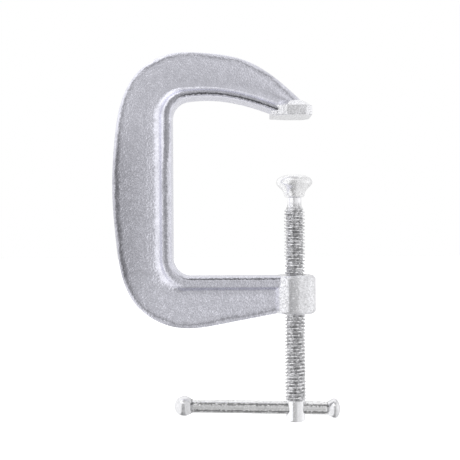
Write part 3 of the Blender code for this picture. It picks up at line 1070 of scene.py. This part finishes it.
def forging_places(tree, place):
    """Masks for the spine's painted shade, the arms, the upper arm, the bead's face, and above the
    sill.
    """
    parts = put(tree, "ShaderNodeSeparateXYZ", Vector=place)
    across, up = parts.outputs["X"], parts.outputs["Z"]
    side = calculate(tree, "ABSOLUTE", parts.outputs["Y"])
    # Painted shade: the lower spine is painted darker, and the painted reflection on its rim is
    # deeper.
    shaded_spine = product(tree, between(tree, across, SPINE_X), between(tree, up, SPINE_SHADE_Z))
    return (
        shaded_spine, between(tree, across, ARMS_X), between(tree, up, UPPER_Z),
        between(tree, side, BEAD_FACE_Y), between(tree, up, ABOVE_SILL_Z),
    )


def forging_shade_and_bumps(tree, place):
    """Factors for painted reflections on the crest, rim and edge line, painted shade on the spine,
    and a smoother fillet.
    """
    shaded_spine, arms, upper, bead_face, above_sill = forging_places(tree, place)
    blotches = noise(tree, place, 1.5)
    ragged = centred(tree, blotches, 3.0)
    from_inner = attribute(tree, "from_inner")
    inner_way = calculate(tree, "ADD", from_inner, ragged)
    crest_way = calculate(tree, "MULTIPLY_ADD", upper, 1.5, inner_way)
    line_way = calculate(tree, "ADD", from_inner, centred(tree, blotches, 1.6))
    outer_way = calculate(tree, "ADD", attribute(tree, "from_outer"), ragged)
    outer_way = calculate(tree, "ADD", outer_way, centred(tree, noise(tree, place, 16.0), 3.0))
    # Painted reflections of the tent's dark gap on the crest, the bead's edge line and the rim.
    crest = product(tree, band(tree, crest_way, *CREST_STRIP), above_sill, bead_face)
    line = product(tree, band(tree, line_way, *LINE_STRIP), arms, bead_face)
    rim_depth = calculate(tree, "MULTIPLY_ADD", shaded_spine, 0.3, 0.1)
    rim = product(tree, band(tree, outer_way, *RIM_STRIP), rim_depth)
    painted_outer_line = band(tree, outer_way, *PAINTED_OUTER_LINE_STRIP)
    fillet = band(tree, inner_way, *FILLET_STRIP)
    depths = ((rim, 1.0), (crest, 0.42), (line, 0.7), (shaded_spine, 0.32), (painted_outer_line, 0.3))
    colour = product(tree, *(darker(tree, mask, amount) for mask, amount in depths))
    return colour, product(tree, darker(tree, fillet, 0.6), darker(tree, upper, 0.4))


forged = plated("forged_zinc", (0.9, 0.9, 0.99), 0.24, 0.2, 1.1, 0.38, shade_and_marks=forging_shade_and_bumps)
boss_zinc = plated("boss_zinc", (0.93, 0.93, 0.96), 0.12, 0.08, 1.3, 0.09, pits=4.0)

# %% [markdown]
# ## The screw's finish
# Rolling polishes the crests of a thread, and its roots lie in shade, which is painted in as a
# darker tone. The distance from the axis tells crest from root, so the radius is worked out in the
# shader from X and Y, and the tone falls towards the root radius as painted shade.

# %% Painted shade and blotches on the screw
# Along the thread in mm: the painted shade in the roots fades inside its ends, the blotches outside.
ROOTS_Z = (HEAD_TOP - 1, HEAD_TOP + 2, THREAD_TOP - 3, THREAD_TOP)
THREAD_Z = (HEAD_TOP - 1, HEAD_TOP, THREAD_TOP, THREAD_TOP + 3)
BLOTCH_LEVELS = (0.48, 0.54, 1.0, 1.1)
SMOOTH_BUMPS = 0.2


def thread_shade_and_blotches(tree, place):
    """Painted shade in the roots, blotches where the plating is thin, and smoother neck and head."""
    flat = put(tree, "ShaderNodeVectorMath", {"operation": "MULTIPLY"}, _0=place, _1=(1, 1, 0))
    radius = put(tree, "ShaderNodeVectorMath", {"operation": "LENGTH"}, _0=flat.outputs[0])
    depth = put(
        tree, "ShaderNodeMapRange", Value=radius.outputs["Value"],
        From_Min=THREAD_R * MM, From_Max=ROOT_R * MM,
    )
    up = put(tree, "ShaderNodeSeparateXYZ", Vector=place).outputs["Z"]
    threads = between(tree, up, THREAD_Z)
    # Painted shade: the roots are painted darker.
    roots = product(tree, depth.outputs["Result"], between(tree, up, ROOTS_Z))
    blotches = product(tree, band(tree, noise(tree, place, 2.0), *BLOTCH_LEVELS), threads)
    colour = product(tree, darker(tree, roots, 0.25), darker(tree, blotches, 0.42))
    return colour, calculate(tree, "MULTIPLY_ADD", threads, 1 - SMOOTH_BUMPS, SMOOTH_BUMPS)


rolled = plated("rolled_thread", (0.97, 0.97, 0.99), 0.06, 0.12, 1.1, 0.08, pits=3.0, shade_and_marks=thread_shade_and_blotches)

# %% [markdown]
# ## The pad, the bar and the knobs
# The pad is turned and has only a faint grain and a few pits. The bar is drawn through a die,
# which leaves marks along its length, so its noise is drawn out along X. Broken dark lines run
# from end to end as painted reflections of the tent's dark seam. The knobs are the smoothest
# pieces and have hardly any grain, which is why they show the dark gap in the tent so clearly.

# %% Finishes of the turned and drawn pieces
# Painted reflections on the bar: how many dark lines run round it, and where the first lies.
REFLECTION_LINES = 6
FIRST_REFLECTION_LINE = math.radians(36)
LINE_LEVELS = (0.35, 0.85, 3.0, 4.0)

smooth = plated("turned_pad", (0.98, 0.98, 0.99), 0.08, 0.14, 1.2, 0.06, pits=3.0)


def painted_reflection_lines(tree, place):
    """Painted reflections: dark broken lines along the bar, where the tent's dark seam would show.

    The angle round the bar's axis is atan2(height above the axis, towards the front). The cosine
    of REFLECTION_LINES times the angle from the first line is 1 on each line.
    """
    parts = put(tree, "ShaderNodeSeparateXYZ", Vector=place)
    slope = calculate(tree, "MULTIPLY_ADD", parts.outputs["X"], math.tan(BAR_TILT), -BAR_Z * MM)
    rise = calculate(tree, "ADD", parts.outputs["Z"], slope)
    front = calculate(tree, "MULTIPLY", parts.outputs["Y"], -1.0)
    angle = calculate(tree, "ARCTAN2", rise, front)
    turns = calculate(tree, "MULTIPLY_ADD", angle, REFLECTION_LINES, -REFLECTION_LINES * FIRST_REFLECTION_LINE)
    wave = calculate(tree, "COSINE", turns)
    broken = centred(tree, noise(tree, place, 1.2), 3.6)
    lines = band(tree, calculate(tree, "ADD", wave, broken), *LINE_LEVELS)
    return darker(tree, lines, 0.62), 1.0


bright = plated(
    "bright_bar", (0.93, 0.93, 0.94), 0.12, 0.12, 1.2, 0.05, stretch=(0.6, 1, 1), pits=5.0,
    shade_and_marks=painted_reflection_lines,
)
knob_steel = plated("knob_steel", (0.84, 0.84, 0.86), 0.12, 0.1, 0.8, 0.04)

# %% [markdown]
# ## Handing the pieces over
# The forging, its anvil and its boss stand for one node, the frame, and ride on it. The pad
# travels, the screw turns in the pad, and the bar slides in the screw with both of its knobs.

# %% Hand the pieces over
hand_over(forging, "frame", "frame", forged)
hand_over(anvil, "frame", "frame", boss_zinc)
hand_over(boss, "frame", "frame", boss_zinc)
hand_over(screw, "screw", "screw", rolled)
hand_over(pad, "pad", "swivel_pad", smooth)
hand_over(bar, "tommy_bar", "tommy_bar", bright)
hand_over(left_knob, "tommy_bar", "bar_knob_left", knob_steel)
hand_over(right_knob, "tommy_bar", "bar_knob_right", knob_steel)
